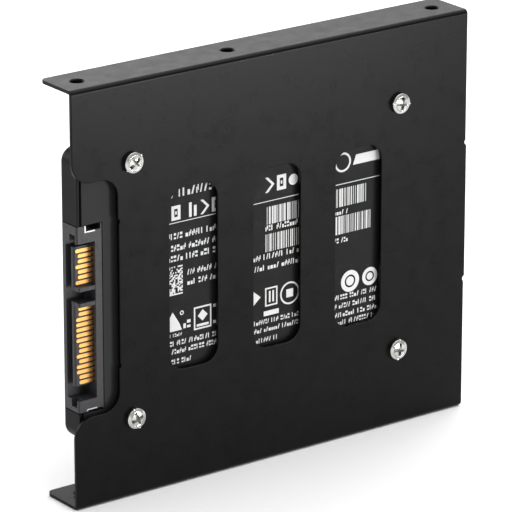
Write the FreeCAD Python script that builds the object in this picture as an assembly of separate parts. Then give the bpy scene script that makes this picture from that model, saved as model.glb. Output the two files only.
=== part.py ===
"""2.5 inch solid state drive screwed to a 3.5 inch bay adapter plate.

The model is laid out from the plate's lower left front corner: X runs along the plate from the
connector end, Y from the plate's front face towards the drive, Z up. Every sub-part is moved at
export so that the origin is the centre of the assembly's footprint, on the surface it stands on.
"""
import FreeCAD, Part
import math
import os

# ---------------------------------------------------------------- adapter plate (millimetres)
SHEET = 0.8                # steel thickness
PLATE_LENGTH = 113.4
PLATE_HEIGHT = 100.4
PLATE_DEPTH = 12.7         # front face to the flanges' free edges
BEND_RADIUS = 1.1          # outside of the bend
FLANGE_CORNER = 1.8
EDGE_BREAK = 0.15          # rolled edge left by the press tool
MIDDLE = PLATE_HEIGHT / 2

SLOT_PITCH = 23.9
SLOT_MIDDLE_X = 57.2
SLOT_WIDTH = 13.6
SLOT_HEIGHT = 44.0
SLOT_CORNER = 4.0

NOTCH_DEPTH = 12.3
NOTCH_HEIGHT = 56.0
NOTCH_INNER_CORNER = 4.5
NOTCH_OUTER_CORNER = 5.0
TIE_OFFSET = 17.3          # height of the carrier-strip nicks above and below the middle
TIE_RADIUS = 0.75
TIE_DEPTH = 0.5            # in the notch
EDGE_TIE_DEPTH = 0.3       # in the right edge
NOTCH_STEP = 0.25          # the notch is deeper by this between its nicks
EDGE_STEP = 0.25           # the right edge stands out by this between its nicks

BAY_HOLE_FIRST_X = 5.9
BAY_HOLE_SPAN = 101.6      # 3.5 inch drive, bottom holes
BAY_HOLE_MIDDLE = 41.61    # third hole, from the first
BAY_HOLE_Y = 6.35
BAY_HOLE_RADIUS = 1.5      # number 6-32 thread, at its pitch radius
BAY_LIP = 0.5              # rounded mouth where the punch drew the sheet in
BAY_COLLAR_RADIUS = 2.1
BAY_COLLAR_HEIGHT = 1.0    # beyond the sheet's inner face
BAY_COLLAR_FOOT = 0.3      # fillet between collar and sheet

# ---------------------------------------------------------------- drive case
DRIVE_LENGTH = 100.0
DRIVE_WIDTH = 69.85
DRIVE_THICKNESS = 6.8
DRIVE_X = 2.3              # connector end
DRIVE_Y = 1.8              # label side
CASE_CORNER = 3.4
CASE_EDGE = 1.2
RIM_EDGE = 0.12            # edge break of the tray's rim and of the cover
CASE_FLOOR = 0.9
CASE_WALL = 2.2
RIM = 0.65                 # thin lip of the tray around the cover
COVER_INSET = 1.3          # the cover starts here, which leaves a groove inside the rim
COVER_THICKNESS = 1.0
FAR_Y = DRIVE_Y + DRIVE_THICKNESS
FLOOR_Y = FAR_Y - CASE_FLOOR
LEDGE_Y = DRIVE_Y + COVER_THICKNESS
DRIVE_END_X = DRIVE_X + DRIVE_LENGTH
HALF_WIDTH = DRIVE_WIDTH / 2

MOUNT_FROM_END = 14.0
MOUNT_SPAN_X = 76.6
MOUNT_HALF_Z = 30.86
M3_RADIUS = 1.5
M3_CLEARANCE = 1.7
M3_DEPTH = 3.7
SIDE_HOLE_DEPTH = 2.4
SIDE_HOLE_Y = DRIVE_Y + 3.0
THREAD_CLEARANCE = 0.02
BOSS_LENGTH = 8.4
BOSS_INSET = 7.2
MOUNT_X = (DRIVE_X + MOUNT_FROM_END, DRIVE_X + MOUNT_FROM_END + MOUNT_SPAN_X)
MOUNT_Z = (MIDDLE - MOUNT_HALF_Z, MIDDLE + MOUNT_HALF_Z)
COLLAR_RADIUS = 2.3
HOLE_CHAMFER = 0.3

CASE_SCREW_RADIUS = 0.95
CASE_SCREW_HEAD = 1.8
CASE_SCREW_HEAD_DEPTH = 0.85
CASE_SCREW_LENGTH = 4.2
CASE_SCREW_SINK = 0.03     # head below the cover's face
SEAT_GAP = 0.08            # play between screw head and countersink
SOCKET_RADIUS = 0.75
SOCKET_DEPTH = 0.6
SOCKET_SIDES = 5
CASE_POST_RADIUS = 2.4
CASE_SCREWS = ((18.6, 23.0), (68.0, -24.0), (68.0, 24.0))   # X, height from the middle

LABEL = (15.2, 98.5, 27.5)     # left, right, half height
LABEL_THICKNESS = 0.12
LABEL_CORNER = 1.5

# ---------------------------------------------------------------- plate screws
HEAD_RADIUS = 2.48
HEAD_WALL = 1.0
HEAD_HEIGHT = 1.6
HEAD_EDGE = 0.12
BURR_RADIUS = 0.36         # metal squeezed out at the rim by two arms of the recess
BURR_INSET = 0.1
GROOVE_RADIUS = 1.75        # shallow ring pressed into the head
GROOVE_SIZE = 0.14
RECESS_DEPTH = 1.2
RECESS_SPAN = 4.1
RECESS_WIDTH = 0.85
RECESS_FLOOR = 0.4         # floor length as a share of the span
SCREW_TURNS = (108, 38, 83, 172)   # degrees: plug end low, plug end high, far end low, far end high
SHANK_END_Y = 5.0
SHANK_TIP = 0.4

# ---------------------------------------------------------------- 22-way plug
PLUG_TOP = 17.4            # housing's ends, from the middle
PLUG_BOTTOM = -27.4
PLUG_CLEARANCE = 0.25
PLUG_FACE_Y = 2.0
PLUG_STRIP = (7.3, 9.15)   # the ridge behind the blades, seen from the label side
PLUG_BACK_X = 11.4
PLUG_WALL_Y = 6.55
BLADE_TIP_X = 2.75
BLADE_NEAR_Y = 3.97
BLADE_FAR_Y = 5.2
BLADE_BEVEL = 0.35
BLADE_BACK_BEVEL = 0.2
SIGNAL_BLADE = (1.8, 12.1)
POWER_BLADE = (-21.5, -1.0)
KEY_LEG = 0.95
KEY_LEG_CHAMFER = 0.3
END_BLOCKS = ((13.3, PLUG_TOP), (PLUG_BOTTOM, -24.5))
END_BLOCK_CHAMFER = 0.35
KEYWAYS = ((13.2, 15.3), (-26.3, -24.4))   # heights of the latch keyways in the end blocks
KEYWAY_DEPTH = 1.5
KEYWAY_Y = (2.7, 4.9)
POCKET_Y = 2.85            # where each contact's window in the ridge starts
POCKET_LENGTH = 1.2

CLIP_X = (4.5, 7.3)
CLIP_TOP = 15.9            # middle planes of the two clips
CLIP_BOTTOM = -26.9
CLIP_HALF = 0.15           # half the strip's thickness
CLIP_FAR_Y = 5.9
CLIP_EAR = 0.35            # length along X of the ear bent outwards
CLIP_EAR_Y = (PLUG_FACE_Y + 0.05, PLUG_FACE_Y + 0.35)
CLIP_WINDOW_X = (4.5, 8.8)
CLIP_WINDOW_Y = 4.9

PITCH = 1.27
FIRST_SIGNAL = 11.075
FIRST_POWER = -2.895
LONG_SIGNAL = (1, 4, 7)
LONG_POWER = (3, 4, 5, 6, 7, 10, 12, 13)
SIGNAL_COUNT = 7
POWER_COUNT = 15
CONTACT_WIDTH = 0.84
CONTACT_THICKNESS = 0.2
CONTACT_NEAR_Y = 3.85
CONTACT_TAIL = 0.4         # contact's reach behind the housing
CONTACT_FOOT = 1.9
LONG_TIP_X = 3.15
SHORT_TIP_X = 3.8

# ---------------------------------------------------------------- circuit board
BOARD_X = (11.6, 64.0)
BOARD_HALF = 27.2
BOARD_NEAR_Y = 4.6
BOARD_THICKNESS = 1.0
BOARD_FAR_Y = BOARD_NEAR_Y + BOARD_THICKNESS
BOARD_SCREWS = ((21.5, -23.6), (60.6, -19.6), (60.6, 19.6))
BOARD_POST_RADIUS = 2.3
BOARD_SCREW_HEAD = 1.8
BOARD_SCREW_HEAD_HEIGHT = 0.9
DRIVER_SLOT = (1.0, 0.2)   # half length, half width
DRIVER_SLOT_DEPTH = 0.5
BOARD_CORNER = 1.0
POST_CLEARANCE = 0.4
PAD_GAP = 0.02             # a chip's solder and paste height stands it off the board
CHIP_BEVEL = 0.12
DIMPLE_INSET = 1.1
DIMPLE_RADIUS = 0.4
DIMPLE_DEPTH = 0.08

# Components: X, height from the middle, length along X, length along Z, thickness.
CONTROLLER = (25.0, -4.0, 14.0, 14.0, 1.25)
CACHE = (25.0, 10.5, 11.5, 8.0, 1.0)
FLASH_A = (47.0, 12.0, 14.0, 18.0, 1.3)
FLASH_B = (47.0, -12.0, 14.0, 18.0, 1.3)
POWER_CHIP = (20.0, -10.0, 5.0, 5.0, 0.9)
SUPPRESSOR = (16.2, -16.5, 2.4, 3.6, 1.1)
FUSE = (16.2, -21.5, 1.6, 3.2, 0.8)
INDUCTOR = (26.0, -10.0, 4.0, 4.0, 1.5)
INDUCTOR_COUNT = 3
INDUCTOR_PITCH = 5.0
INDUCTOR_DISH = (1.3, 0.08)    # radius, depth
CRYSTAL = (20.5, 3.5, 3.2, 2.5, 0.35)
CRYSTAL_LID = (2.8, 2.1, 0.7)  # length along X, along Z, height above the board
CRYSTAL_LID_EDGE = 0.15
PAD_INSET = 1.0                # a thermal pad is smaller than its chip by this

# Two-ended passives: length, width, height; first X and height; column and row pitch; columns, rows.
TANTALUM = (3.5, 2.8, 1.6)
TANTALUM_GRID = (20.6, -16.8, 4.2, 0.0, 5, 1)
CERAMIC = (1.6, 0.8, 0.8)
CERAMIC_GRID = (28.0, 1.0, 2.2, 2.6, 6, 4)
SMALL_CERAMIC = (1.0, 0.5, 0.5)
SMALL_CERAMIC_GRID = (16.0, 3.0, 0.0, 2.0, 1, 5)
RESISTOR = (1.0, 0.5, 0.35)
RESISTOR_GRID = (44.0, -6.0, 1.6, 2.4, 8, 6)
PASSIVE_EDGE = 0.06

OVERLAP = 0.1              # how far a block is sunk into its neighbour before the two are fused
CLEAR = 1.0                # how far a cutting tool runs past the surface it opens
TINY = 0.01                # tolerance for picking edges by position
THROUGH = (-CLEAR, SHEET + CLEAR)

ORIGIN_SHIFT = FreeCAD.Vector(-(PLATE_LENGTH + EDGE_STEP) / 2, -(PLATE_DEPTH - HEAD_HEIGHT) / 2, 0)
V = FreeCAD.Vector


# ---------------------------------------------------------------- building blocks
def block(x, y, z):
    """Box from three (low, high) pairs."""
    return Part.makeBox(x[1] - x[0], y[1] - y[0], z[1] - z[0], V(x[0], y[0], z[0]))


def rod(x, y, z, radius, direction=V(0, 1, 0)):
    """Cylinder along Y from y[0] to y[1], centred on x and z."""
    return Part.makeCylinder(radius, y[1] - y[0], V(x, y[0], z), direction)


def cone(x, y, z, radius_start, radius_end):
    return Part.makeCone(radius_start, radius_end, y[1] - y[0], V(x, y[0], z), V(0, 1, 0))


def pick(shape, test):
    """Edges whose bounding box passes the test."""
    return [edge for edge in shape.Edges if test(edge.BoundBox)]


def along_y(box):
    return box.XLength < 1e-4 and box.ZLength < 1e-4 and box.YLength > 1e-4


def rounded(x, y, z, radius):
    """Block whose four edges along Y are rounded."""
    shape = block(x, y, z)
    return shape.makeFillet(radius, pick(shape, along_y))


def fuse(shapes):
    result = shapes[0]
    if len(shapes) > 1:
        result = result.fuse(shapes[1:])
    return result.removeSplitter()


def cut(shape, tools):
    return shape.cut(tools).removeSplitter()


def prism(points, axis_vector):
    """Extrude a closed outline of points."""
    outline = [V(*point) for point in points]
    face = Part.Face(Part.makePolygon(outline + [outline[0]]))
    return face.extrude(axis_vector)


def save(name, shapes):
    """Write one node, as a group when it holds several separate solids."""
    shapes = shapes if isinstance(shapes, (list, tuple)) else [shapes]
    solids = [solid for shape in shapes for solid in shape.Solids]
    result = Part.makeCompound(solids) if len(solids) > 1 else solids[0]
    result = result.copy()
    result.translate(ORIGIN_SHIFT)
    result.exportStep(os.path.join("parts", name + ".step"))
    box = result.BoundBox
    print("%-26s %2d solid(s)  %8.1f mm3  valid %s  x %.2f..%.2f y %.2f..%.2f z %.2f..%.2f" % (
        name, len(solids), result.Volume, result.isValid(),
        box.XMin, box.XMax, box.YMin, box.YMax, box.ZMin, box.ZMax))


# ---------------------------------------------------------------- adapter plate
def bent_sheet():
    """Plate with a flange folded back along the top and the bottom."""
    outer = block((0, PLATE_LENGTH), (0, PLATE_DEPTH), (0, PLATE_HEIGHT))
    hollow = block((0, PLATE_LENGTH), (SHEET, PLATE_DEPTH), (SHEET, PLATE_HEIGHT - SHEET))
    sheet = outer.cut(hollow)
    ends = (0, PLATE_HEIGHT)
    outside = pick(sheet, lambda b: b.XLength > CLEAR and b.YMax < TINY and round(b.ZMin, 3) in ends)
    sheet = sheet.makeFillet(BEND_RADIUS, outside)
    inner = (SHEET, round(PLATE_HEIGHT - SHEET, 3))
    inside = pick(sheet, lambda b: b.XLength > CLEAR and abs(b.YMin - SHEET) < TINY
                  and b.YLength < TINY and round(b.ZMin, 3) in inner)
    sheet = sheet.makeFillet(BEND_RADIUS - SHEET, inside)
    corners = pick(sheet, lambda b: abs(b.ZLength - SHEET) < TINY and b.YMin > PLATE_DEPTH - TINY
                   and b.XLength < TINY)
    return sheet.makeFillet(FLANGE_CORNER, corners)


def slots():
    middle = (MIDDLE - SLOT_HEIGHT / 2, MIDDLE + SLOT_HEIGHT / 2)
    tools = []
    for step in (-1, 0, 1):
        x = SLOT_MIDDLE_X + step * SLOT_PITCH
        tools.append(rounded((x - SLOT_WIDTH / 2, x + SLOT_WIDTH / 2), THROUGH, middle, SLOT_CORNER))
    return tools


def connector_notch(sheet):
    """Open bay in the left edge, with rounded inner and outer corners."""
    low = MIDDLE - NOTCH_HEIGHT / 2
    high = MIDDLE + NOTCH_HEIGHT / 2
    opening = rounded((-NOTCH_DEPTH, NOTCH_DEPTH), THROUGH, (low, high), NOTCH_INNER_CORNER)
    step = block((NOTCH_DEPTH - CLEAR, NOTCH_DEPTH + NOTCH_STEP), THROUGH,
                 (MIDDLE - TIE_OFFSET, MIDDLE + TIE_OFFSET))
    sheet = cut(sheet, [opening, step])
    ends = (round(low, 3), round(high, 3))
    lips = pick(sheet, lambda b: along_y(b) and b.XMax < TINY and round(b.ZMin, 3) in ends)
    return sheet.makeFillet(NOTCH_OUTER_CORNER, lips)


def tie_marks():
    """Half-round nicks where the blank was cropped from its carrier strip."""
    tools = []
    for side in (-1, 1):
        z = MIDDLE + side * TIE_OFFSET
        notch_x = NOTCH_DEPTH + TIE_DEPTH - TIE_RADIUS
        edge_x = PLATE_LENGTH - EDGE_TIE_DEPTH + TIE_RADIUS
        tools.append(rod(notch_x, THROUGH, z, TIE_RADIUS))
        tools.append(rod(edge_x, THROUGH, z, TIE_RADIUS))
    return tools


def bay_places():
    """Centres of the three holes, on the surface the unit stands on."""
    return [V(BAY_HOLE_FIRST_X + offset, BAY_HOLE_Y, 0) for offset in (0, BAY_HOLE_MIDDLE, BAY_HOLE_SPAN)]


def bay_collars():
    """Drawn collars round the tapped holes, inside both flanges."""
    height = SHEET / 2 + BAY_COLLAR_HEIGHT
    collars = []
    for at in bay_places():
        collars.append(Part.makeCylinder(BAY_COLLAR_RADIUS, height, at + V(0, 0, SHEET / 2)))
        upper = at + V(0, 0, PLATE_HEIGHT - SHEET / 2 - height)
        collars.append(Part.makeCylinder(BAY_COLLAR_RADIUS, height, upper))
    return collars


def drawn_holes(sheet):
    """Round the collars' feet, then bore the holes and round their mouths."""
    inner = (SHEET, round(PLATE_HEIGHT - SHEET, 3))
    feet = pick(sheet, lambda b: b.ZLength < TINY and round(b.ZMin, 3) in inner
                and abs(b.XLength - 2 * BAY_COLLAR_RADIUS) < TINY)
    sheet = sheet.makeFillet(BAY_COLLAR_FOOT, feet)
    bores = [Part.makeCylinder(BAY_HOLE_RADIUS, PLATE_HEIGHT + 2 * CLEAR, at - V(0, 0, CLEAR))
             for at in bay_places()]
    sheet = cut(sheet, bores)
    skins = (0, PLATE_HEIGHT)
    mouths = pick(sheet, lambda b: b.ZLength < TINY and round(b.ZMin, 3) in skins
                  and abs(b.XLength - 2 * BAY_HOLE_RADIUS) < TINY)
    return sheet.makeFillet(BAY_LIP, mouths)


def outline_edges(sheet):
    """Closed chain of edges round the outside skin: plate, bends and flanges."""
    ends = (0, PLATE_LENGTH)
    skins = (0, PLATE_HEIGHT)

    def plate_side(b):
        near_end = b.XMax < NOTCH_DEPTH + CLEAR or b.XMin > PLATE_LENGTH - CLEAR
        return b.YMax < TINY and b.XLength < NOTCH_OUTER_CORNER + CLEAR and near_end

    def bend_end(b):
        return b.XLength < TINY and abs(b.YLength - BEND_RADIUS) < 2 * TINY and round(b.XMin, 3) in ends

    def flange_rim(b):
        hole = abs(b.XLength - 2 * (BAY_HOLE_RADIUS + BAY_LIP)) < 2 * TINY
        flat = b.ZLength < TINY and abs(round(b.ZMin, 2)) in skins
        return flat and b.YMax > BEND_RADIUS + TINY and not hole

    return pick(sheet, lambda b: plate_side(b) or bend_end(b) or flange_rim(b))


def slot_rims(sheet):
    """Front edges of the slots."""
    def rim(b):
        front = b.YMax < TINY
        inside = b.XMin > NOTCH_DEPTH + CLEAR and b.XMax < PLATE_LENGTH - CLEAR
        small = b.XLength < SLOT_WIDTH + TINY and abs(b.ZMin + b.ZMax - PLATE_HEIGHT) < SLOT_HEIGHT + TINY
        return front and inside and small

    return pick(sheet, rim)


def mounting_bracket():
    sheet = cut(bent_sheet(), slots())
    sheet = connector_notch(sheet)
    tab = block((PLATE_LENGTH - CLEAR, PLATE_LENGTH + EDGE_STEP), (0, SHEET),
                (MIDDLE - TIE_OFFSET, MIDDLE + TIE_OFFSET))
    seats = [rod(x, (SHEET / 2, DRIVE_Y), z, COLLAR_RADIUS) for x in MOUNT_X for z in MOUNT_Z]
    sheet = fuse([sheet, tab] + seats + bay_collars())
    sheet = drawn_holes(sheet)
    screw_holes = [rod(x, (-CLEAR, DRIVE_Y + CLEAR), z, M3_CLEARANCE) for x in MOUNT_X for z in MOUNT_Z]
    sheet = cut(sheet, tie_marks() + screw_holes)
    return sheet.makeFillet(EDGE_BREAK, slot_rims(sheet) + outline_edges(sheet))


def screw_blank():
    """Domed head with a short straight wall and a pressed ring, and a plain shank."""
    dome = HEAD_HEIGHT - HEAD_WALL
    crown = (HEAD_RADIUS ** 2 + dome ** 2) / (2 * dome)
    lean = math.asin(HEAD_RADIUS / crown) / 2
    mid = V(crown * math.sin(lean), -HEAD_HEIGHT + crown * (1 - math.cos(lean)), 0)
    top = V(0, -HEAD_HEIGHT, 0)
    rim = V(HEAD_RADIUS, -HEAD_WALL, 0)
    foot = V(HEAD_RADIUS, 0, 0)
    shank = M3_RADIUS - THREAD_CLEARANCE
    below = [foot, V(shank, 0, 0), V(shank, SHANK_END_Y - SHANK_TIP, 0),
             V(shank - SHANK_TIP, SHANK_END_Y, 0), V(0, SHANK_END_Y, 0), top]
    edges = [Part.Arc(top, mid, rim).toShape(), Part.makeLine(rim, foot)]
    edges += [Part.makeLine(a, b) for a, b in zip(below, below[1:])]
    blank = Part.Face(Part.Wire(edges)).revolve(V(0, 0, 0), V(0, 1, 0), 360)
    rims = pick(blank, lambda b: b.YLength < TINY and abs(b.YMin + HEAD_WALL) < TINY)
    level = -HEAD_HEIGHT + crown - math.sqrt(crown ** 2 - GROOVE_RADIUS ** 2)
    groove = Part.makeTorus(GROOVE_RADIUS, GROOVE_SIZE, V(0, level, 0), V(0, 1, 0))
    return cut(blank.makeFillet(HEAD_EDGE, rims), [groove])


def cross_recess():
    """Two tapered wings at right angles."""
    half = RECESS_SPAN / 2
    floor = half * RECESS_FLOOR
    mouth = -HEAD_HEIGHT - OVERLAP
    deep = -HEAD_HEIGHT + RECESS_DEPTH
    wing = prism([(-half, mouth, 0), (half, mouth, 0), (floor, deep, 0), (-floor, deep, 0)],
                 V(0, 0, RECESS_WIDTH))
    wing.translate(V(0, 0, -RECESS_WIDTH / 2))
    other = wing.copy()
    other.rotate(V(0, 0, 0), V(0, 1, 0), 90)
    return [wing, other]


def bracket_screws():
    """Pan-head cross-recess M3 screws."""
    burrs = [Part.makeSphere(BURR_RADIUS, V(side * (HEAD_RADIUS - BURR_INSET), -HEAD_WALL + BURR_INSET, 0))
             for side in (-1, 1)]
    screw = cut(fuse([screw_blank()] + burrs), cross_recess())
    screws = []
    places = [(x, z) for x in MOUNT_X for z in MOUNT_Z]
    for (x, z), turn in zip(places, SCREW_TURNS):
        one = screw.copy()
        one.rotate(V(0, 0, 0), V(0, 1, 0), -turn)
        one.translate(V(x, 0, z))
        screws.append(one)
    return screws


# ---------------------------------------------------------------- drive case
def case_outline(inset, y, corner):
    return rounded((DRIVE_X + inset, DRIVE_END_X - inset), y,
                   (MIDDLE - HALF_WIDTH + inset, MIDDLE + HALF_WIDTH - inset), corner)


def plug_bay(x_high, y):
    """Space that the plug's housing takes in the connector end."""
    return block((DRIVE_X - CLEAR, x_high), y,
                 (MIDDLE + PLUG_BOTTOM - PLUG_CLEARANCE, MIDDLE + PLUG_TOP + PLUG_CLEARANCE))


def corner_bosses():
    """Blocks in the four corners that take the bottom and the side screws."""
    bosses = []
    for x in MOUNT_X:
        for side in (-1, 1):
            wall = MIDDLE + side * (HALF_WIDTH - CASE_WALL / 2)
            inner = MIDDLE + side * (HALF_WIDTH - BOSS_INSET)
            bosses.append(block((x - BOSS_LENGTH / 2, x + BOSS_LENGTH / 2), (LEDGE_Y, FLOOR_Y + OVERLAP),
                                (min(wall, inner), max(wall, inner))))
    return bosses


def threaded_holes():
    tools = []
    for x in MOUNT_X:
        for side in (-1, 1):
            z = MIDDLE + side * MOUNT_HALF_Z
            tools.append(rod(x, (LEDGE_Y - OVERLAP, LEDGE_Y + M3_DEPTH), z, M3_RADIUS))
            face = V(x, SIDE_HOLE_Y, MIDDLE + side * HALF_WIDTH)
            inward = V(0, 0, -side)
            tools.append(Part.makeCylinder(M3_RADIUS, SIDE_HOLE_DEPTH, face, inward))
            tools.append(Part.makeCone(M3_RADIUS + HOLE_CHAMFER, M3_RADIUS, HOLE_CHAMFER, face, inward))
    return tools


def top_shell():
    """Cast tray: far face, four walls, rim around the cover, bosses and posts."""
    shell = case_outline(0, (DRIVE_Y, FAR_Y), CASE_CORNER)
    shell = shell.makeFillet(CASE_EDGE, pick(shell, lambda b: b.YMin > FAR_Y - TINY))
    shell = shell.makeFillet(RIM_EDGE, pick(shell, lambda b: b.YMax < DRIVE_Y + TINY))
    recess = case_outline(RIM, (DRIVE_Y - CLEAR, LEDGE_Y), CASE_CORNER - RIM)
    cavity = case_outline(CASE_WALL, (LEDGE_Y - OVERLAP, FLOOR_Y), CASE_CORNER - CASE_WALL)
    shell = cut(shell, [recess, cavity])
    root = FLOOR_Y + OVERLAP
    posts = [rod(x, (LEDGE_Y, root), MIDDLE + z, CASE_POST_RADIUS) for x, z in CASE_SCREWS]
    posts += [rod(x, (BOARD_FAR_Y, root), MIDDLE + z, BOARD_POST_RADIUS) for x, z in BOARD_SCREWS]
    shell = fuse([shell] + corner_bosses() + posts)
    tap = CASE_SCREW_RADIUS + THREAD_CLEARANCE
    taps = [rod(x, (LEDGE_Y - OVERLAP, LEDGE_Y + CASE_SCREW_LENGTH), MIDDLE + z, tap)
            for x, z in CASE_SCREWS]
    taps += [rod(x, (BOARD_FAR_Y - OVERLAP, root + OVERLAP), MIDDLE + z, tap) for x, z in BOARD_SCREWS]
    return cut(shell, threaded_holes() + taps + [plug_bay(PLUG_BACK_X, (DRIVE_Y - CLEAR, FLOOR_Y))])


def base_cover():
    """Flat lid let into the tray on the label side."""
    cover = case_outline(COVER_INSET, (DRIVE_Y, LEDGE_Y), CASE_CORNER - COVER_INSET)
    cover = cover.makeFillet(RIM_EDGE, pick(cover, lambda b: b.YMax < DRIVE_Y + TINY))
    through = (DRIVE_Y - CLEAR, LEDGE_Y + CLEAR)
    seat = (DRIVE_Y, DRIVE_Y + CASE_SCREW_HEAD_DEPTH + SEAT_GAP)
    tools = [plug_bay(PLUG_STRIP[1] + SEAT_GAP, through)]
    tools += [rod(x, through, z, M3_CLEARANCE) for x in MOUNT_X for z in MOUNT_Z]
    for x, z in CASE_SCREWS:
        tools.append(rod(x, through, MIDDLE + z, CASE_SCREW_RADIUS + SEAT_GAP))
        tools.append(cone(x, seat, MIDDLE + z, CASE_SCREW_HEAD + SEAT_GAP, CASE_SCREW_RADIUS + SEAT_GAP))
    return cut(cover, tools)


def star_corner(x, z, step):
    angle = 2 * math.pi * step / SOCKET_SIDES
    return (x + SOCKET_RADIUS * math.cos(angle), DRIVE_Y, MIDDLE + z + SOCKET_RADIUS * math.sin(angle))


def case_screws():
    """Countersunk screws that hold the cover, under the label."""
    screws = []
    for x, z in CASE_SCREWS:
        head = cone(x, (DRIVE_Y + CASE_SCREW_SINK, DRIVE_Y + CASE_SCREW_HEAD_DEPTH), MIDDLE + z,
                    CASE_SCREW_HEAD, CASE_SCREW_RADIUS)
        shank = rod(x, (DRIVE_Y + SOCKET_DEPTH, DRIVE_Y + CASE_SCREW_LENGTH), MIDDLE + z, CASE_SCREW_RADIUS)
        socket = prism([star_corner(x, z, step) for step in range(SOCKET_SIDES)], V(0, SOCKET_DEPTH, 0))
        screws.append(cut(fuse([head, shank]), [socket]))
    return screws


def product_label():
    left, right, half = LABEL
    return rounded((left, right), (DRIVE_Y - LABEL_THICKNESS, DRIVE_Y),
                   (MIDDLE - half, MIDDLE + half), LABEL_CORNER)


# ---------------------------------------------------------------- plug
def contact(z, tip_x):
    """Flat blade contact, through the housing, down to a foot on the board."""
    z = MIDDLE + z
    width = (z - CONTACT_WIDTH / 2, z + CONTACT_WIDTH / 2)
    near = CONTACT_NEAR_Y
    far = near + CONTACT_THICKNESS
    tail = PLUG_BACK_X + CONTACT_TAIL
    blade = block((tip_x, tail), (near, far), width)
    tip = pick(blade, lambda b: along_y(b) and b.XMax < tip_x + TINY)
    blade = blade.makeFillet(CONTACT_WIDTH / 2 - 4 * TINY, tip)
    drop = block((tail - CONTACT_THICKNESS, tail), (near, BOARD_NEAR_Y), width)
    foot = block((tail - CONTACT_THICKNESS, PLUG_BACK_X + CONTACT_FOOT),
                 (BOARD_NEAR_Y - CONTACT_THICKNESS, BOARD_NEAR_Y), width)
    return fuse([blade, drop, foot])


def contact_row(first, count, long_numbers):
    row = []
    for number in range(1, count + 1):
        tip_x = LONG_TIP_X if number in long_numbers else SHORT_TIP_X
        row.append(contact(first - (number - 1) * PITCH, tip_x))
    return row


def contact_heights():
    signal = [FIRST_SIGNAL - step * PITCH for step in range(SIGNAL_COUNT)]
    return signal + [FIRST_POWER - step * PITCH for step in range(POWER_COUNT)]


def blade(z_range, key_at_top):
    """Tongue with a bevelled front edge and an L-shaped key leg at one end."""
    low = MIDDLE + z_range[0]
    high = MIDDLE + z_range[1]
    root = PLUG_STRIP[0] + OVERLAP
    section = [(root, BLADE_NEAR_Y), (BLADE_TIP_X + BLADE_BEVEL, BLADE_NEAR_Y),
               (BLADE_TIP_X, BLADE_NEAR_Y + BLADE_BEVEL), (BLADE_TIP_X, BLADE_FAR_Y - BLADE_BACK_BEVEL),
               (BLADE_TIP_X + BLADE_BACK_BEVEL, BLADE_FAR_Y), (root, BLADE_FAR_Y)]
    tongue = prism([(x, y, low) for x, y in section], V(0, 0, high - low))
    leg_z = (high - KEY_LEG, high) if key_at_top else (low, low + KEY_LEG)
    leg = block((BLADE_TIP_X + OVERLAP, root), (PLUG_FACE_Y + OVERLAP, BLADE_FAR_Y), leg_z)
    front = pick(leg, lambda b: b.XMax < BLADE_TIP_X + OVERLAP + TINY
                 and b.YMax < PLUG_FACE_Y + OVERLAP + TINY)
    return [tongue, leg.makeChamfer(KEY_LEG_CHAMFER, front)]


def end_block(z_range):
    z = (MIDDLE + z_range[0], MIDDLE + z_range[1])
    shape = block((DRIVE_X, PLUG_STRIP[0] + OVERLAP), (PLUG_FACE_Y, PLUG_WALL_Y + OVERLAP), z)
    corner = pick(shape, lambda b: b.YMax < PLUG_FACE_Y + TINY and b.XMax < DRIVE_X + TINY)
    return shape.makeChamfer(END_BLOCK_CHAMFER, corner)


def hold_downs():
    """Bent metal clips that tie the housing's ends to the board."""
    clips = []
    for z, end in ((CLIP_TOP, PLUG_TOP), (CLIP_BOTTOM, PLUG_BOTTOM)):
        plane = (MIDDLE + z - CLIP_HALF, MIDDLE + z + CLIP_HALF)
        plate = block(CLIP_X, (PLUG_FACE_Y - 4 * TINY, CLIP_FAR_Y), plane)
        inner_end = MIDDLE + end - math.copysign(5 * TINY, end)
        ear = block((CLIP_X[0], CLIP_X[0] + CLIP_EAR), CLIP_EAR_Y, sorted((MIDDLE + z, inner_end)))
        clips.append(fuse([plate, ear]))
    return clips


def clip_windows():
    """Pockets outside the clips, open to the label side."""
    windows = []
    for z, end in ((CLIP_TOP, PLUG_TOP), (CLIP_BOTTOM, PLUG_BOTTOM)):
        outward = math.copysign(1, end)
        heights = sorted((MIDDLE + z + outward * CLIP_HALF, MIDDLE + end + outward * CLEAR))
        windows.append(block(CLIP_WINDOW_X, (PLUG_FACE_Y - CLEAR, CLIP_WINDOW_Y), heights))
    return windows


def contact_pockets():
    """Small windows in the ridge where each contact leaves the housing."""
    half = CONTACT_WIDTH / 2
    return [block((PLUG_STRIP[0] - OVERLAP, PLUG_STRIP[0] + POCKET_LENGTH), (POCKET_Y, CONTACT_NEAR_Y),
                  (MIDDLE + z - half, MIDDLE + z + half)) for z in contact_heights()]


def connector_housing(contacts, clips):
    z = (MIDDLE + PLUG_BOTTOM, MIDDLE + PLUG_TOP)
    ridge = block(PLUG_STRIP, (PLUG_FACE_Y, FLOOR_Y), z)
    body = block((PLUG_STRIP[1] - OVERLAP, PLUG_BACK_X), (LEDGE_Y + OVERLAP, FLOOR_Y), z)
    wall = block((DRIVE_X, PLUG_STRIP[0] + OVERLAP), (PLUG_WALL_Y, FLOOR_Y), z)
    keys = blade(SIGNAL_BLADE, False) + blade(POWER_BLADE, True)
    blocks = [end_block(ends) for ends in END_BLOCKS]
    housing = fuse([ridge, body, wall] + keys + blocks)
    keyways = [block((DRIVE_X - CLEAR, DRIVE_X + KEYWAY_DEPTH), KEYWAY_Y, (MIDDLE + low, MIDDLE + high))
               for low, high in KEYWAYS]
    return cut(housing, contacts + clips + clip_windows() + contact_pockets() + keyways)


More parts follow.
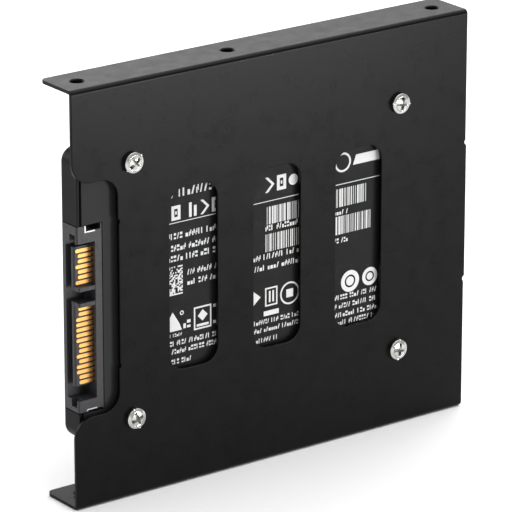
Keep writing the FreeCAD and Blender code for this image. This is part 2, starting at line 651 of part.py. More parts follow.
# ---------------------------------------------------------------- board and its components
def circuit_board():
    board = block(BOARD_X, (BOARD_NEAR_Y, BOARD_FAR_Y), (MIDDLE - BOARD_HALF, MIDDLE + BOARD_HALF))
    board = board.makeFillet(BOARD_CORNER, pick(board, along_y))
    hole = CASE_SCREW_RADIUS + DRIVER_SLOT[1]
    around = CASE_POST_RADIUS + POST_CLEARANCE
    tools = [rod(x, (0, FAR_Y), MIDDLE + z, hole) for x, z in BOARD_SCREWS]
    for x, z in CASE_SCREWS:
        if x < BOARD_X[1]:
            edge = MIDDLE + math.copysign(BOARD_HALF + CLEAR, z)
            tools.append(rod(x, (0, FAR_Y), MIDDLE + z, around))
            tools.append(block((x - around, x + around), (0, FAR_Y), sorted((MIDDLE + z, edge))))
    return cut(board, tools)


def board_screws():
    long, narrow = DRIVER_SLOT
    depth = (0, BOARD_NEAR_Y - BOARD_SCREW_HEAD_HEIGHT + DRIVER_SLOT_DEPTH)
    screws = []
    for x, z in BOARD_SCREWS:
        z = MIDDLE + z
        head = rod(x, (BOARD_NEAR_Y - BOARD_SCREW_HEAD_HEIGHT, BOARD_NEAR_Y), z, BOARD_SCREW_HEAD)
        shank = rod(x, (BOARD_NEAR_Y - OVERLAP, FLOOR_Y + OVERLAP), z, CASE_SCREW_RADIUS)
        slot = block((x - long, x + long), depth, (z - narrow, z + narrow))
        cross = block((x - narrow, x + narrow), depth, (z - long, z + long))
        screws.append(cut(fuse([head, shank]), [slot, cross]))
    return screws


def package(part, y):
    """Plain block over a component's footprint."""
    x, z, size_x, size_z, _ = part
    return block((x - size_x / 2, x + size_x / 2), y, (MIDDLE + z - size_z / 2, MIDDLE + z + size_z / 2))


def far_chip(part):
    """Package on the far side, with a pin-one dimple and a bevelled top."""
    x, z, size_x, size_z, height = part
    top = BOARD_FAR_Y + PAD_GAP + height
    chip = package(part, (BOARD_FAR_Y, top))
    chip = chip.makeChamfer(CHIP_BEVEL, pick(chip, lambda b: b.YMin > top - TINY))
    dimple = rod(x - size_x / 2 + DIMPLE_INSET, (top - DIMPLE_DEPTH, top + CLEAR),
                 MIDDLE + z + size_z / 2 - DIMPLE_INSET, DIMPLE_RADIUS)
    return cut(chip, [dimple])


def near_chip(part):
    """Package on the near side, facing the cover."""
    low = BOARD_NEAR_Y - part[4]
    chip = package(part, (low, BOARD_NEAR_Y))
    return chip.makeChamfer(CHIP_BEVEL, pick(chip, lambda b: b.YMax < low + TINY))


def thermal_pad(part):
    """Soft pad between a far-side chip and the tray's floor."""
    x, z, size_x, size_z, height = part
    smaller = (x, z, size_x - PAD_INSET, size_z - PAD_INSET, height)
    return package(smaller, (BOARD_FAR_Y + PAD_GAP + height, FLOOR_Y))


def passives(size, grid, upright=True):
    """Grid of small two-ended parts on the near side."""
    length, width, height = size
    first_x, first_z, pitch_x, pitch_z, columns, rows = grid
    along_x, along_z = (width, length) if upright else (length, width)
    low = BOARD_NEAR_Y - height
    bodies = []
    for column in range(columns):
        for row in range(rows):
            place = (first_x + column * pitch_x, first_z + row * pitch_z, along_x, along_z, height)
            body = package(place, (low, BOARD_NEAR_Y))
            bodies.append(body.makeFillet(PASSIVE_EDGE, pick(body, lambda b: b.YMax < low + TINY)))
    return bodies


def inductors():
    radius, depth = INDUCTOR_DISH
    x, z, size_x, size_z, height = INDUCTOR
    row = []
    for step in range(INDUCTOR_COUNT):
        at = x + step * INDUCTOR_PITCH
        dish = rod(at, (0, BOARD_NEAR_Y - height + depth), MIDDLE + z, radius)
        row.append(cut(near_chip((at, z, size_x, size_z, height)), [dish]))
    return row


def crystal():
    x, z = CRYSTAL[:2]
    size_x, size_z, height = CRYSTAL_LID
    low = BOARD_NEAR_Y - height
    lid = package((x, z, size_x, size_z, height), (low, BOARD_NEAR_Y - OVERLAP))
    lid = lid.makeFillet(CRYSTAL_LID_EDGE, pick(lid, lambda b: b.YMax < low + TINY))
    return fuse([near_chip(CRYSTAL), lid])


def board_components():
    save("controller_chip", far_chip(CONTROLLER))
    save("cache_memory_chip", far_chip(CACHE))
    save("flash_memory_a", far_chip(FLASH_A))
    save("flash_memory_b", far_chip(FLASH_B))
    save("thermal_pad_controller", thermal_pad(CONTROLLER))
    save("thermal_pads_memory", [thermal_pad(FLASH_A), thermal_pad(FLASH_B)])
    save("power_management_chip", near_chip(POWER_CHIP))
    save("surge_suppressor", near_chip(SUPPRESSOR))
    save("input_fuse", near_chip(FUSE))
    save("power_inductors", inductors())
    save("bulk_capacitors", passives(TANTALUM, TANTALUM_GRID))
    save("clock_crystal", crystal())
    small = passives(SMALL_CERAMIC, SMALL_CERAMIC_GRID, upright=False)
    save("ceramic_capacitors", passives(CERAMIC, CERAMIC_GRID) + small)
    save("chip_resistors", passives(RESISTOR, RESISTOR_GRID))


def main():
    os.makedirs("parts", exist_ok=True)
    save("mounting_bracket", mounting_bracket())
    save("bracket_screws", bracket_screws())
    save("top_shell", top_shell())
    save("base_cover", base_cover())
    save("case_screws", case_screws())
    save("product_label", product_label())
    signal = contact_row(FIRST_SIGNAL, SIGNAL_COUNT, LONG_SIGNAL)
    power = contact_row(FIRST_POWER, POWER_COUNT, LONG_POWER)
    clips = hold_downs()
    save("connector_housing", connector_housing(signal + power, clips))
    save("signal_contacts", signal)
    save("power_contacts", power)
    save("connector_hold_downs", clips)
    save("circuit_board", circuit_board())
    save("board_screws", board_screws())
    board_components()


main()
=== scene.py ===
import math
import random

import bmesh
import bpy
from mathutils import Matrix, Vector


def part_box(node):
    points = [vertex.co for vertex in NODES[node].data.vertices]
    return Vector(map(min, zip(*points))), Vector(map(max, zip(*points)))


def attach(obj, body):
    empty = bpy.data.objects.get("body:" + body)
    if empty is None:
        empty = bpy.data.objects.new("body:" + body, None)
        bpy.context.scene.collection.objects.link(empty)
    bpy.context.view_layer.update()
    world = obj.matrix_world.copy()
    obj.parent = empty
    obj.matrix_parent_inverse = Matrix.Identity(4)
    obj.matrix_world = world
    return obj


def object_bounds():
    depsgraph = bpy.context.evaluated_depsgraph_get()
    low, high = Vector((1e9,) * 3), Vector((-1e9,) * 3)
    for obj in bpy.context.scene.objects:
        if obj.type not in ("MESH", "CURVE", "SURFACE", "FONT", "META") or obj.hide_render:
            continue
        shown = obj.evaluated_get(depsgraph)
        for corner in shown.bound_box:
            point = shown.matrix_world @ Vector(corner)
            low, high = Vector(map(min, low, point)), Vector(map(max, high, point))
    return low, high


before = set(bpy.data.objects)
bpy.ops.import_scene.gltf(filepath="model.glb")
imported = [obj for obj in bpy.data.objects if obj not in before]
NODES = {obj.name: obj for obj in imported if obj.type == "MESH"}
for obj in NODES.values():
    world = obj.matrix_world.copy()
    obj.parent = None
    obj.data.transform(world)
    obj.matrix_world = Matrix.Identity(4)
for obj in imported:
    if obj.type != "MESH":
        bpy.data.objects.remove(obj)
cad_low, cad_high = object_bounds()

MM = 0.001
PLATE_LOW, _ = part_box("mounting_bracket")
LABEL_LOW, LABEL_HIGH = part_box("product_label")
MIDDLE = (LABEL_LOW.z + LABEL_HIGH.z) / 2


# ---------------------------------------------------------------- node materials
NOISE_SWING = (0.3, 0.7)    # range that most of a noise output lies in
SMOOTHEST = 0.02            # lowest roughness
EDGE_TURN = (0.99, 0.8)     # cosines at which an edge's wear and painted highlight start and are full
SHADE_REACH = 0.0009        # how far the screws' recesses look for a wall when painting shade
TRACKS_PER_METRE = 260.0
TRACK_WIDTH = 0.09          # as a share of a brick

# Linear colours: each finish, then what it varies towards.
PAINT = (0.0014, 0.0013, 0.00132)
PAINT_HANDLED = (0.0026, 0.0023, 0.0024)
# edge colour for the bracket: wear and a painted highlight
PAINT_WEAR_AND_HIGHLIGHT = (0.016, 0.0155, 0.015)
NICKEL = (0.55, 0.547, 0.53)
NICKEL_DULL = (0.39, 0.38, 0.365)
NICKEL_SHADED = (0.19, 0.185, 0.18)
CASE = (0.0030, 0.0030, 0.0034)
CASE_GRAIN = (0.0080, 0.0080, 0.0085)
COVER = (0.019, 0.019, 0.0198)
COVER_GRAIN = (0.026, 0.026, 0.027)
FILM = (0.010, 0.010, 0.0104)
FILM_BAND = (0.013, 0.013, 0.0136)
INK_WHITE = (0.57, 0.57, 0.567)
INK_THIN = (0.50, 0.50, 0.50)
CHARCOAL = (0.019, 0.019, 0.0215)
GLASS_FIBRE = (0.060, 0.058, 0.068)
GOLD_FLASH = (0.73, 0.37, 0.105)
GOLD_TARNISH = (0.66, 0.35, 0.115)
TIN = (0.50, 0.50, 0.49)
STEEL = (0.60, 0.60, 0.61)
CRYSTAL_CAN = (0.74, 0.73, 0.69)
MASK_GREEN = (0.010, 0.085, 0.045)
MASK_ON_COPPER = (0.022, 0.17, 0.085)
MASK_DARK = (0.006, 0.05, 0.03)
EPOXY = (0.016, 0.016, 0.018)
SILICONE = (0.33, 0.42, 0.55)
FUSE_WHITE = (0.72, 0.69, 0.60)
FERRITE = (0.07, 0.07, 0.075)
RESIN = (0.66, 0.42, 0.10)
RESIN_LIGHT = (0.78, 0.55, 0.2)
CERAMIC = (0.36, 0.25, 0.15)
RESISTOR = (0.02, 0.02, 0.022)
PAPER = (0.94, 0.94, 0.94)
PAPER_SHADE = (0.92, 0.92, 0.92)


class Shader:
    """A Principled material with helpers that add procedural detail in object space."""

    def __init__(self, name, color, roughness, metallic=0.0, **sockets):
        self.material = bpy.data.materials.new(name)
        self.material.use_nodes = True
        self.tree = self.material.node_tree
        self.nodes = self.tree.nodes
        self.bsdf = self.nodes["Principled BSDF"]
        self.set("Base Color", (*color, 1.0))
        self.set("Roughness", roughness)
        self.set("Metallic", metallic)
        for socket, value in sockets.items():
            self.set(socket.replace("_", " "), value)
        self.color = color
        self.roughness = roughness
        self.space = self.nodes.new("ShaderNodeTexCoord").outputs["Object"]
        self.normal = None

    def set(self, socket, value):
        self.bsdf.inputs[socket].default_value = value

    def link(self, output, socket):
        self.tree.links.new(output, socket)

    def stretched(self, scale):
        """Object coordinates scaled unevenly, for brushed or rolled grain."""
        node = self.nodes.new("ShaderNodeMapping")
        node.inputs["Scale"].default_value = scale
        self.link(self.space, node.inputs["Vector"])
        return node.outputs["Vector"]

    def noise(self, size, detail=2.0, rough=0.5, vector=None):
        """Noise whose features are about size metres across."""
        node = self.nodes.new("ShaderNodeTexNoise")
        node.inputs["Scale"].default_value = 1.0 / size
        node.inputs["Detail"].default_value = detail
        node.inputs["Roughness"].default_value = rough
        self.link(vector or self.space, node.inputs["Vector"])
        return node.outputs["Fac"]

    def cells(self, size):
        """Rounded grains about size metres across."""
        node = self.nodes.new("ShaderNodeTexVoronoi")
        node.inputs["Scale"].default_value = 1.0 / size
        self.link(self.space, node.inputs["Vector"])
        return node.outputs["Distance"]

    def remap(self, value, low, high, to_low, to_high):
        """Scale low..high to to_low..to_high, and clamp what lies outside."""
        node = self.nodes.new("ShaderNodeMapRange")
        node.inputs["From Min"].default_value = low
        node.inputs["From Max"].default_value = high
        node.inputs["To Min"].default_value = to_low
        node.inputs["To Max"].default_value = to_high
        self.link(value, node.inputs["Value"])
        return node.outputs["Result"]

    def fade(self, value, start, full, amount):
        """Factor that is 0 where value is at start and amount where it is at full."""
        return self.remap(value, start, full, 0.0, amount)

    def mix(self, factor, a, b):
        """Colour mix; a and b are colours or outputs."""
        node = self.nodes.new("ShaderNodeMix")
        node.data_type = "RGBA"
        sockets = [s for s in node.inputs if s.enabled]
        self.link(factor, sockets[0])
        for socket, value in zip(sockets[1:], (a, b)):
            if isinstance(value, (tuple, list)):
                socket.default_value = (*value, 1.0)
            else:
                self.link(value, socket)
        return [s for s in node.outputs if s.enabled][0]

    def vary_color(self, factor, other):
        """Blend the base colour towards another colour by a factor output."""
        current = self.bsdf.inputs["Base Color"]
        base = current.links[0].from_socket if current.links else self.color
        self.link(self.mix(factor, base, other), current)

    def vary_roughness(self, value, spread):
        """Swing the roughness by spread either way with a noise output."""
        low = max(self.roughness - spread, SMOOTHEST)
        high = min(self.roughness + spread, 1.0)
        self.link(self.remap(value, *NOISE_SWING, low, high), self.bsdf.inputs["Roughness"])

    def edge_wear_and_highlight(self, radius, color, amount):
        """Round the edges' shading and paint them lighter over about radius metres, as wear and
        as a painted highlight.
        """
        round_off = self.nodes.new("ShaderNodeBevel")
        round_off.inputs["Radius"].default_value = radius
        geometry = self.nodes.new("ShaderNodeNewGeometry")
        turn = self.nodes.new("ShaderNodeVectorMath")
        turn.operation = "DOT_PRODUCT"
        self.link(round_off.outputs["Normal"], turn.inputs[0])
        self.link(geometry.outputs["Normal"], turn.inputs[1])
        # lighter colour along the edges: partly wear, partly a painted highlight
        self.vary_color(self.fade(turn.outputs["Value"], *EDGE_TURN, amount), color)
        self.normal = round_off.outputs["Normal"]
        self.link(self.normal, self.bsdf.inputs["Normal"])

    def bump(self, height, depth, strength=1.0):
        """Relief of about depth metres; later calls stack on earlier ones."""
        node = self.nodes.new("ShaderNodeBump")
        node.inputs["Strength"].default_value = strength
        node.inputs["Distance"].default_value = depth
        self.link(height, node.inputs["Height"])
        if self.normal is not None:
            self.link(self.normal, node.inputs["Normal"])
        self.normal = node.outputs["Normal"]
        self.link(self.normal, self.bsdf.inputs["Normal"])


def bracket_paint():
    """Satin black powder coat: orange peel, fine grain, handling marks, and edges painted lighter
    as wear and as a painted highlight.
    """
    s = Shader("bracket_paint", PAINT, 0.30, Specular_IOR_Level=0.10)
    s.vary_color(s.fade(s.noise(0.018, 3.0), 0.35, 0.7, 0.4), PAINT_HANDLED)
    s.vary_roughness(s.noise(0.004, 4.0, 0.6), 0.05)
    # edges painted lighter: wear and a painted highlight
    s.edge_wear_and_highlight(0.00012, PAINT_WEAR_AND_HIGHLIGHT, 0.8)
    s.bump(s.noise(0.0011, 2.0), 9e-6, 0.5)
    s.bump(s.noise(0.00025, 3.0, 0.6), 3e-6, 0.6)
    return s.material


def screw_plating():
    """Bright nickel with small dull spots, with painted shade in the recess and the ring."""
    s = Shader("screw_plating", NICKEL, 0.15, 1.0)
    s.vary_color(s.fade(s.noise(0.0006, 3.0), 0.5, 0.75, 0.55), NICKEL_DULL)
    s.vary_roughness(s.noise(0.0004, 4.0, 0.6), 0.09)
    s.bump(s.noise(0.0005, 3.0, 0.6), 1.2e-5, 0.5)
    # painted shade: the nickel turns darker where its own recess and ring close in
    shade = s.nodes.new("ShaderNodeAmbientOcclusion")
    shade.inputs["Distance"].default_value = SHADE_REACH
    shade.only_local = True
    s.vary_color(s.remap(shade.outputs["AO"], 0.3, 0.8, 0.85, 0.0), NICKEL_SHADED)
    return s.material


def blasted_metal(name, color, lighter, roughness, gloss, relief):
    """Bead-blasted, black-dyed aluminium."""
    s = Shader(name, color, roughness, 0.0, Specular_IOR_Level=gloss)
    s.vary_color(s.fade(s.noise(0.00022, 2.0), 0.45, 0.75, 0.8), lighter)
    s.vary_roughness(s.noise(0.006, 3.0), 0.04)
    s.bump(s.cells(0.00028), 6e-6, 0.7 * relief)
    s.bump(s.noise(0.0015, 3.0), 6e-6, 0.4 * relief)
    return s.material


def label_film():
    """Matt black polyester film with faint print banding."""
    s = Shader("label_film", FILM, 0.24, Specular_IOR_Level=0.085)
    s.vary_color(s.fade(s.noise(0.012, 2.0), 0.4, 0.7, 0.6), FILM_BAND)
    s.vary_roughness(s.noise(0.003, 3.0), 0.05)
    s.bump(s.noise(0.004, 2.0), 1.2e-5, 0.3)
    s.bump(s.noise(0.00012, 2.0), 1.5e-6, 0.5)
    return s.material


def label_ink():
    """White screen ink, slightly uneven in cover."""
    s = Shader("label_ink", INK_WHITE, 0.55, Specular_IOR_Level=0.3)
    s.vary_color(s.fade(s.noise(0.0005, 3.0), 0.45, 0.8, 0.5), INK_THIN)
    s.vary_roughness(s.noise(0.001, 2.0), 0.06)
    s.bump(s.noise(0.0002, 2.0), 2e-6, 0.5)
    return s.material


def plug_plastic():
    """Glass-filled polymer: short pale fibres in a charcoal body, moulded satin."""
    s = Shader("plug_plastic", CHARCOAL, 0.46, Specular_IOR_Level=0.36)
    fibres = s.noise(0.00012, 2.0, 0.5, s.stretched((1.0, 1.0, 0.25)))
    s.vary_color(s.fade(fibres, 0.55, 0.78, 0.6), GLASS_FIBRE)
    s.vary_roughness(s.noise(0.0008, 3.0), 0.08)
    s.bump(fibres, 4e-6, 0.6)
    s.bump(s.noise(0.0006, 2.0), 6e-6, 0.4)
    return s.material


def contact_gold():
    """Gold flash over stamped, slightly brushed contacts."""
    s = Shader("contact_gold", GOLD_FLASH, 0.44, 0.82)
    grain = s.noise(0.00012, 2.0, 0.5, s.stretched((0.12, 1.0, 1.0)))
    s.vary_color(s.fade(s.noise(0.0012, 3.0), 0.4, 0.75, 0.5), GOLD_TARNISH)
    s.vary_roughness(grain, 0.08)
    s.bump(grain, 2.5e-6, 0.5)
    return s.material


def bright_metal(name, color, roughness):
    """Tin, zinc or nickel finish with rolled grain."""
    s = Shader(name, color, roughness, 1.0)
    grain = s.noise(0.0002, 2.0, 0.6, s.stretched((0.2, 1.0, 1.0)))
    s.vary_color(s.fade(s.noise(0.0009, 3.0), 0.4, 0.75, 0.5), tuple(0.75 * c for c in color))
    s.vary_roughness(grain, 0.08)
    s.bump(grain, 3e-6, 0.5)
    return s.material


def moulded(name, color, roughness, grain, other=None):
    """Moulded epoxy, ferrite, ceramic or silicone with its own grain."""
    s = Shader(name, color, roughness)
    other = other or tuple(min(1.0, 1.8 * c + 0.01) for c in color)
    s.vary_color(s.fade(s.noise(grain, 3.0, 0.6), 0.45, 0.75, 0.6), other)
    s.vary_roughness(s.noise(grain * 4, 2.0), 0.07)
    s.bump(s.noise(grain, 3.0, 0.6), grain * 0.05, 0.6)
    return s.material


def board_laminate():
    """Green solder mask over copper tracks on a woven glass core."""
    s = Shader("board_laminate", MASK_GREEN, 0.34)
    tracks = s.nodes.new("ShaderNodeTexBrick")
    tracks.inputs["Scale"].default_value = TRACKS_PER_METRE
    tracks.inputs["Mortar Size"].default_value = TRACK_WIDTH
    for socket, shade in (("Color1", 0), ("Color2", 0), ("Mortar", 1)):
        tracks.inputs[socket].default_value = (shade, shade, shade, 1)
    turned = s.nodes.new("ShaderNodeMapping")
    turned.inputs["Rotation"].default_value = (math.radians(90), 0, 0)
    s.link(s.space, turned.inputs["Vector"])
    s.link(turned.outputs["Vector"], tracks.inputs["Vector"])
    s.vary_color(tracks.outputs["Color"], MASK_ON_COPPER)
    s.vary_color(s.fade(s.noise(0.0006, 3.0), 0.5, 0.8, 0.4), MASK_DARK)
    s.bump(tracks.outputs["Color"], 2e-5, 0.6)
    s.bump(s.noise(0.0004, 2.0), 5e-6, 0.5)
    return s.material


INNER_STEEL = bright_metal("inner_steel", STEEL, 0.30)
CHIP_EPOXY = moulded("chip_epoxy", EPOXY, 0.42, 0.00018)
GOLD = contact_gold()
PAD = moulded("pad_silicone", SILICONE, 0.75, 0.0004)

FINISHES = {
    "mounting_bracket": bracket_paint(),
    "bracket_screws": screw_plating(),
    "top_shell": blasted_metal("case_metal", CASE, CASE_GRAIN,
                               roughness=0.38, gloss=0.08, relief=1.0),
    "base_cover": blasted_metal("cover_metal", COVER, COVER_GRAIN,
                                roughness=0.16, gloss=0.13, relief=0.4),
    "case_screws": INNER_STEEL,
    "board_screws": INNER_STEEL,
    "product_label": label_film(),
    "connector_housing": plug_plastic(),
    "signal_contacts": GOLD,
    "power_contacts": GOLD,
    "connector_hold_downs": bright_metal("clip_metal", TIN, 0.30),
    "circuit_board": board_laminate(),
    "controller_chip": CHIP_EPOXY,
    "cache_memory_chip": CHIP_EPOXY,
    "flash_memory_a": CHIP_EPOXY,
    "flash_memory_b": CHIP_EPOXY,
    "power_management_chip": CHIP_EPOXY,
    "surge_suppressor": CHIP_EPOXY,
    "thermal_pad_controller": PAD,
    "thermal_pads_memory": PAD,
    "input_fuse": moulded("fuse_ceramic", FUSE_WHITE, 0.5, 0.0003),
    "power_inductors": moulded("inductor_ferrite", FERRITE, 0.6, 0.00012),
    "bulk_capacitors": moulded("capacitor_resin", RESIN, 0.42, 0.0003, RESIN_LIGHT),
    "clock_crystal": bright_metal("crystal_can", CRYSTAL_CAN, 0.28),
    "ceramic_capacitors": moulded("capacitor_ceramic", CERAMIC, 0.5, 0.0002),
    "chip_resistors": moulded("resistor_film", RESISTOR, 0.35, 0.0002),
}
for node, finish in FINISHES.items():
    NODES[node].data.materials.clear()
    NODES[node].data.materials.append(finish)


# ---------------------------------------------------------------- label print
# Layout in millimetres: across from the plate's left edge, up from the label's middle.
INK = 0.015 * MM
INK_Y = LABEL_LOW.y
DISC_SIDES = 40
RING_SIDES = 36
LEFT_EDGE, RIGHT_EDGE = 17.0, 96.0
WORD_LENGTHS = (3, 8)                    # marks in a word of filler
MARK_WIDTHS = (0.34, 0.56)               # over the line's height
BAR_WIDTHS = (0.16, 0.16, 0.32, 0.48)
BAR_GAPS = (0.16, 0.2, 0.36, 0.44)
LAST_BAR = 0.6                           # no bar starts nearer to the code's right end
CELL_FILL = 0.98                         # printed share of a code patch's cell


class Print:
    """Collects flat ink shapes on the label's face into one thin mesh."""

    def __init__(self):
        self.mesh = bmesh.new()

    def point(self, across, up):
        return Vector((PLATE_LOW.x + across * MM, INK_Y - INK, MIDDLE + up * MM))

    def polygon(self, outline):
        """Raised patch with a skirt down to the label."""
        top = [self.mesh.verts.new(self.point(*p)) for p in outline]
        foot = [self.mesh.verts.new(v.co + Vector((0, INK, 0))) for v in top]
        self.mesh.faces.new(top)
        for i, v in enumerate(top):
            j = (i + 1) % len(top)
            self.mesh.faces.new((v, foot[i], foot[j], top[j]))
        self.mesh.faces.new(foot[::-1])

    def bar(self, left, right, low, high, lean=0.0):
        self.polygon([(left, low), (right, low), (right + lean, high), (left + lean, high)])

    def disc(self, across, up, radius):
        turn = 2 * math.pi / DISC_SIDES
        self.polygon([(across + radius * math.cos(k * turn), up + radius * math.sin(k * turn))
                      for k in range(DISC_SIDES)])

    def ring(self, across, up, radius, width):
        """Circle of short joined patches."""
        inner = radius - width
        step = 2 * math.pi / RING_SIDES
        for k in range(RING_SIDES):
            a = k * step
            b = a + step
            self.polygon([(across + inner * math.cos(a), up + inner * math.sin(a)),
                          (across + radius * math.cos(a), up + radius * math.sin(a)),
                          (across + radius * math.cos(b), up + radius * math.sin(b)),
                          (across + inner * math.cos(b), up + inner * math.sin(b))])

    def frame(self, left, right, low, high, width):
        self.bar(left, right, high - width, high)
        self.bar(left, right, low, low + width)
        self.bar(left, left + width, low + width, high - width)
        self.bar(right - width, right, low + width, high - width)

    def piece(self, name):
        data = bpy.data.meshes.new(name)
        bmesh.ops.recalc_face_normals(self.mesh, faces=self.mesh.faces)
        self.mesh.to_mesh(data)
        self.mesh.free()
        data.materials.append(LABEL_INK)
        obj = bpy.data.objects.new(name, data)
        bpy.context.scene.collection.objects.link(obj)
        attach(obj, "root")


def filler_line(ink, left, right, middle, height, weight, seed):
    """Ticks, blocks and dashes in word-sized groups, none of them a letter."""
    draw = random.Random(seed)
    low, high = middle - height / 2, middle + height / 2
    across = left
    word = draw.randint(*WORD_LENGTHS)
    while across < right:
        wide = height * draw.uniform(*MARK_WIDTHS)
        if across + wide > right:
            break
        half = wide / 2.3
        kind = draw.randrange(5)
        if kind == 0:
            ink.bar(across, across + max(weight, half), low, high)
        elif kind == 1:
            ink.bar(across, across + wide, low, low + height * 0.62)
        elif kind == 2:
            ink.bar(across, across + wide, low, low + height * 0.3)
            ink.bar(across, across + wide, high - height * 0.4, high)
        elif kind == 3:
            ink.bar(across, across + half, low, high - height * 0.3)
            ink.bar(across + wide - half, across + wide, low + height * 0.3, high)
        else:
            ink.bar(across, across + half, low, high, wide - half)
        across += wide + height * 0.17
        word -= 1
        if word == 0:
            across += height * 0.45
            word = draw.randint(*WORD_LENGTHS)


def barcode(ink, left, right, low, high, seed):
    """Upright bars of mixed widths, which encode nothing."""
    draw = random.Random(seed)
    across = left
    while across < right - LAST_BAR:
        wide = draw.choice(BAR_WIDTHS)
        ink.bar(across, across + wide, low, high)
        across += wide + draw.choice(BAR_GAPS)


def code_patch(ink, left, low, side, count, seed):
    """Square patch of filled and empty cells with two solid edges."""
    draw = random.Random(seed)
    cell = side / count
    for row in range(count):
        for column in range(count):
            edge = row == 0 or column == 0
            if edge or draw.random() < 0.5:
                ink.bar(left + column * cell, left + (column + CELL_FILL) * cell,
                        low + row * cell, low + (row + CELL_FILL) * cell)


def title_marks(ink, left, low, height, kinds):
    """Heavy abstract marks: tiles, discs, paired bars and chevrons."""
    heavy = height * 0.22
    high = low + height
    middle = low + height / 2
    across = left
    for kind in kinds:
        wide = height * 0.72
        if kind == "tile":
            ink.frame(across, across + wide, low, high, heavy)
            ink.bar(across + wide * 0.42, across + wide * 0.58,
                    middle - heavy / 2, middle + heavy / 2)
        elif kind == "gap":
            across -= wide * 0.6
        elif kind == "disc":
            ink.disc(across + wide / 2, middle, wide / 2)
        elif kind == "pair":
            ink.bar(across, across + wide * 0.3, low, high)
            ink.bar(across + wide * 0.55, across + wide * 0.85, low, high - height * 0.25)
        else:
            ink.polygon([(across, low), (across + heavy, low), (across + wide, middle),
                         (across + heavy, high), (across, high), (across + wide - heavy, middle)])
        across += wide + height * 0.2


LABEL_INK = label_ink()


# left, right, middle, height, weight, seed
TITLE_LINE = (LEFT_EDGE, 46.0, 20.4, 2.0, 0.22, 11)
TEXT_LINES = (
    (LEFT_EDGE, 42.5, 10.1, 1.45, 0.3, 101),
    (LEFT_EDGE, 45.0, 7.2, 1.45, 0.3, 72),
    (LEFT_EDGE, 46.0, 4.7, 1.45, 0.3, 47),
    (32.6, 47.0, 0.7, 1.35, 0.28, 57),
    (32.6, 47.0, -1.8, 1.35, 0.28, 32),
    (LEFT_EDGE, 47.5, -16.0, 1.2, 0.24, 160),
    (LEFT_EDGE, 46.0, -18.0, 1.2, 0.24, 180),
    (22.0, 34.2, -20.5, 1.2, 0.24, 205),
    (31.4, 34.0, -11.9, 1.9, 0.4, 61),
    (24.5, 31.0, -14.0, 0.8, 0.16, 62),
    (55.0, 68.5, 6.7, 1.35, 0.28, 367),
    (50.6, 69.0, -0.2, 1.35, 0.28, 298),
    (50.2, 67.0, -2.8, 1.35, 0.28, 272),
    (51.0, 70.0, -16.2, 1.15, 0.22, 562),
    (51.0, 69.0, -18.2, 1.15, 0.22, 582),
    (51.0, 58.6, -20.7, 1.15, 0.22, 607),
    (74.4, 79.8, 6.4, 1.2, 0.25, 71),
    (74.4, 79.6, -0.6, 1.2, 0.25, 72),
    (71.0, 88.3, -14.9, 1.2, 0.22, 649),
    (71.0, 88.3, -17.1, 1.2, 0.22, 671),
    (71.0, 88.3, -19.3, 1.2, 0.22, 693),
    (71.0, 88.3, -21.3, 1.2, 0.22, 713),
    (LEFT_EDGE, 92.0, 24.4, 1.6, 0.3, 73),
    (LEFT_EDGE, 90.0, -24.6, 1.2, 0.22, 74),
)
# left, right, low, high, seed
BARCODES = (
    (55.4, 69.0, 7.6, 11.9, 21),
    (55.0, 69.0, 0.9, 5.2, 22),
    (71.5, 85.2, 7.7, 12.2, 23),
    (71.5, 86.4, 0.9, 5.4, 24),
)


def label_title():
    ink = Print()
    filler_line(ink, *TITLE_LINE)
    title_marks(ink, 18.6, 13.9, 3.5,
                ("pair", "chevron", "disc", "tile", "gap", "pair", "chevron", "tile"))
    title_marks(ink, 54.9, 15.4, 3.7, ("chevron", "tile", "disc", "pair", "chevron"))
    ink.bar(LEFT_EDGE, RIGHT_EDGE, 13.2, 13.38)
    ink.ring(77.6, 18.6, 2.4, 0.5)
    ink.bar(80.6, 88.6, 17.4, 19.8, 0.9)
    ink.piece("label_title_print")


def label_text():
    ink = Print()
    for line in TEXT_LINES:
        filler_line(ink, *line)
    ink.piece("label_text_print")


def label_codes():
    ink = Print()
    for code in BARCODES:
        barcode(ink, *code)
    code_patch(ink, left=24.3, low=-4.2, side=7.0, count=20, seed=25)
    ink.piece("label_code_print")


def label_symbols():
    ink = Print()
    ink.polygon([(25.0, -13.0), (31.0, -13.0), (30.2, -11.2), (28.4, -8.3), (26.6, -11.0)])
    ink.ring(31.0, -8.9, 0.55, 0.25)
    ink.frame(34.4, 39.4, -14.0, -8.4, 0.4)
    ink.polygon([(36.9, -12.1), (38.3, -10.7), (36.9, -9.3), (35.5, -10.7)])
    ink.bar(35.2, 38.6, -13.3, -12.7)
    ink.bar(39.9, 41.4, -9.4, -8.7)
    ink.bar(39.9, 41.4, -13.4, -12.7)
    ink.polygon([(50.8, -12.3), (53.6, -9.9), (50.8, -7.6)])
    ink.frame(54.9, 58.5, -12.6, -8.0, 0.38)
    ink.bar(56.0, 56.5, -11.7, -8.9)
    ink.bar(57.0, 57.5, -11.7, -8.9)
    ink.bar(54.5, 58.9, -14.9, -13.7)
    ink.ring(62.1, -10.6, 2.8, 0.42)
    ink.bar(61.1, 63.1, -11.6, -9.6)
    ink.disc(80.0, -11.4, 1.15)
    ink.ring(80.0, -11.4, 2.7, 1.1)
    ink.disc(85.9, -11.4, 0.9)
    ink.ring(85.9, -11.4, 2.25, 0.95)
    ink.piece("label_symbol_print")


label_title()
label_text()
label_codes()
label_symbols()


# ---------------------------------------------------------------- studio
FLOOR_RADIUS = 12.0
FLOOR_SIDES = 96
FLOOR_GAP = 0.0001          # below the part, so that no faces coincide
WORLD_STRENGTH = 0.58
CENTRE = (0.0, 0.0, 0.05)
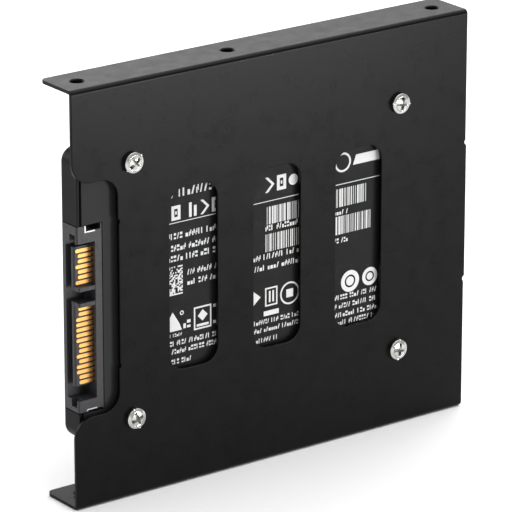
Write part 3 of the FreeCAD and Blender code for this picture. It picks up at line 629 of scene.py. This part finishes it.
# name, place, target, size, power
LIGHTS = (
    ("key", (0.20, -0.42, 0.03), (0.0, 0.0, 0.09), (0.25, 0.045), 1.3),
    ("top", (0.45, -0.10, 1.1), CENTRE, (1.5, 1.1), 11.0),
    ("front", (-0.4, -0.5, 1.2), CENTRE, (0.9, 0.9), 3.0),
    ("back", (0.30, 0.41, 0.37), (0.0, 0.0, 0.1), (0.7, 0.26), 1.32),
    ("rim", (-0.35, 0.75, 0.30), CENTRE, (0.5, 0.4), 2.4),
)


def studio_floor():
    data = bpy.data.meshes.new("floor")
    mesh = bmesh.new()
    bmesh.ops.create_circle(mesh, cap_ends=True, segments=FLOOR_SIDES, radius=FLOOR_RADIUS)
    mesh.to_mesh(data)
    mesh.free()
    s = Shader("floor_paper", PAPER, 0.85, Specular_IOR_Level=0.2)
    s.vary_color(s.fade(s.noise(0.4, 2.0), 0.4, 0.7, 0.15), PAPER_SHADE)
    data.materials.append(s.material)
    obj = bpy.data.objects.new("floor", data)
    obj.location.z = cad_low.z - FLOOR_GAP
    bpy.context.scene.collection.objects.link(obj)


def softbox(name, location, target, size, power):
    light = bpy.data.lights.new(name, "AREA")
    light.shape = "RECTANGLE"
    light.size, light.size_y = size
    light.energy = power
    obj = bpy.data.objects.new(name, light)
    obj.location = location
    direction = Vector(target) - Vector(location)
    obj.rotation_euler = direction.to_track_quat("-Z", "Y").to_euler()
    obj.visible_camera = False
    bpy.context.scene.collection.objects.link(obj)


def studio():
    world = bpy.data.worlds.new("studio")
    world.use_nodes = True
    background = world.node_tree.nodes["Background"]
    background.inputs["Color"].default_value = (1.0, 1.0, 1.0, 1.0)
    background.inputs["Strength"].default_value = WORLD_STRENGTH
    bpy.context.scene.world = world
    for light in LIGHTS:
        softbox(*light)
    bpy.context.scene.view_settings.view_transform = "Standard"


# ---------------------------------------------------------------- camera
# Degrees, then metres from the aim, then millimetres of lens and sensor.
AZIMUTH = -36.47
ELEVATION = 19.10
DISTANCE = 0.97786
LENS = 296.2
SENSOR = 36.0
CLIP_NEAR, CLIP_FAR = 0.05, 50.0
AIM = PLATE_LOW + Vector((51.02, 0.0, 51.48)) * MM


def camera():
    a, e = math.radians(AZIMUTH), math.radians(ELEVATION)
    back = Vector((math.sin(a) * math.cos(e), -math.cos(a) * math.cos(e), math.sin(e)))
    data = bpy.data.cameras.new("camera")
    data.lens = LENS
    data.sensor_width = SENSOR
    data.clip_start, data.clip_end = CLIP_NEAR, CLIP_FAR
    obj = bpy.data.objects.new("camera", data)
    obj.location = AIM + back * DISTANCE
    obj.rotation_euler = (-back).to_track_quat("-Z", "Y").to_euler()
    bpy.context.scene.collection.objects.link(obj)
    bpy.context.scene.camera = obj


studio_floor()
studio()
camera()
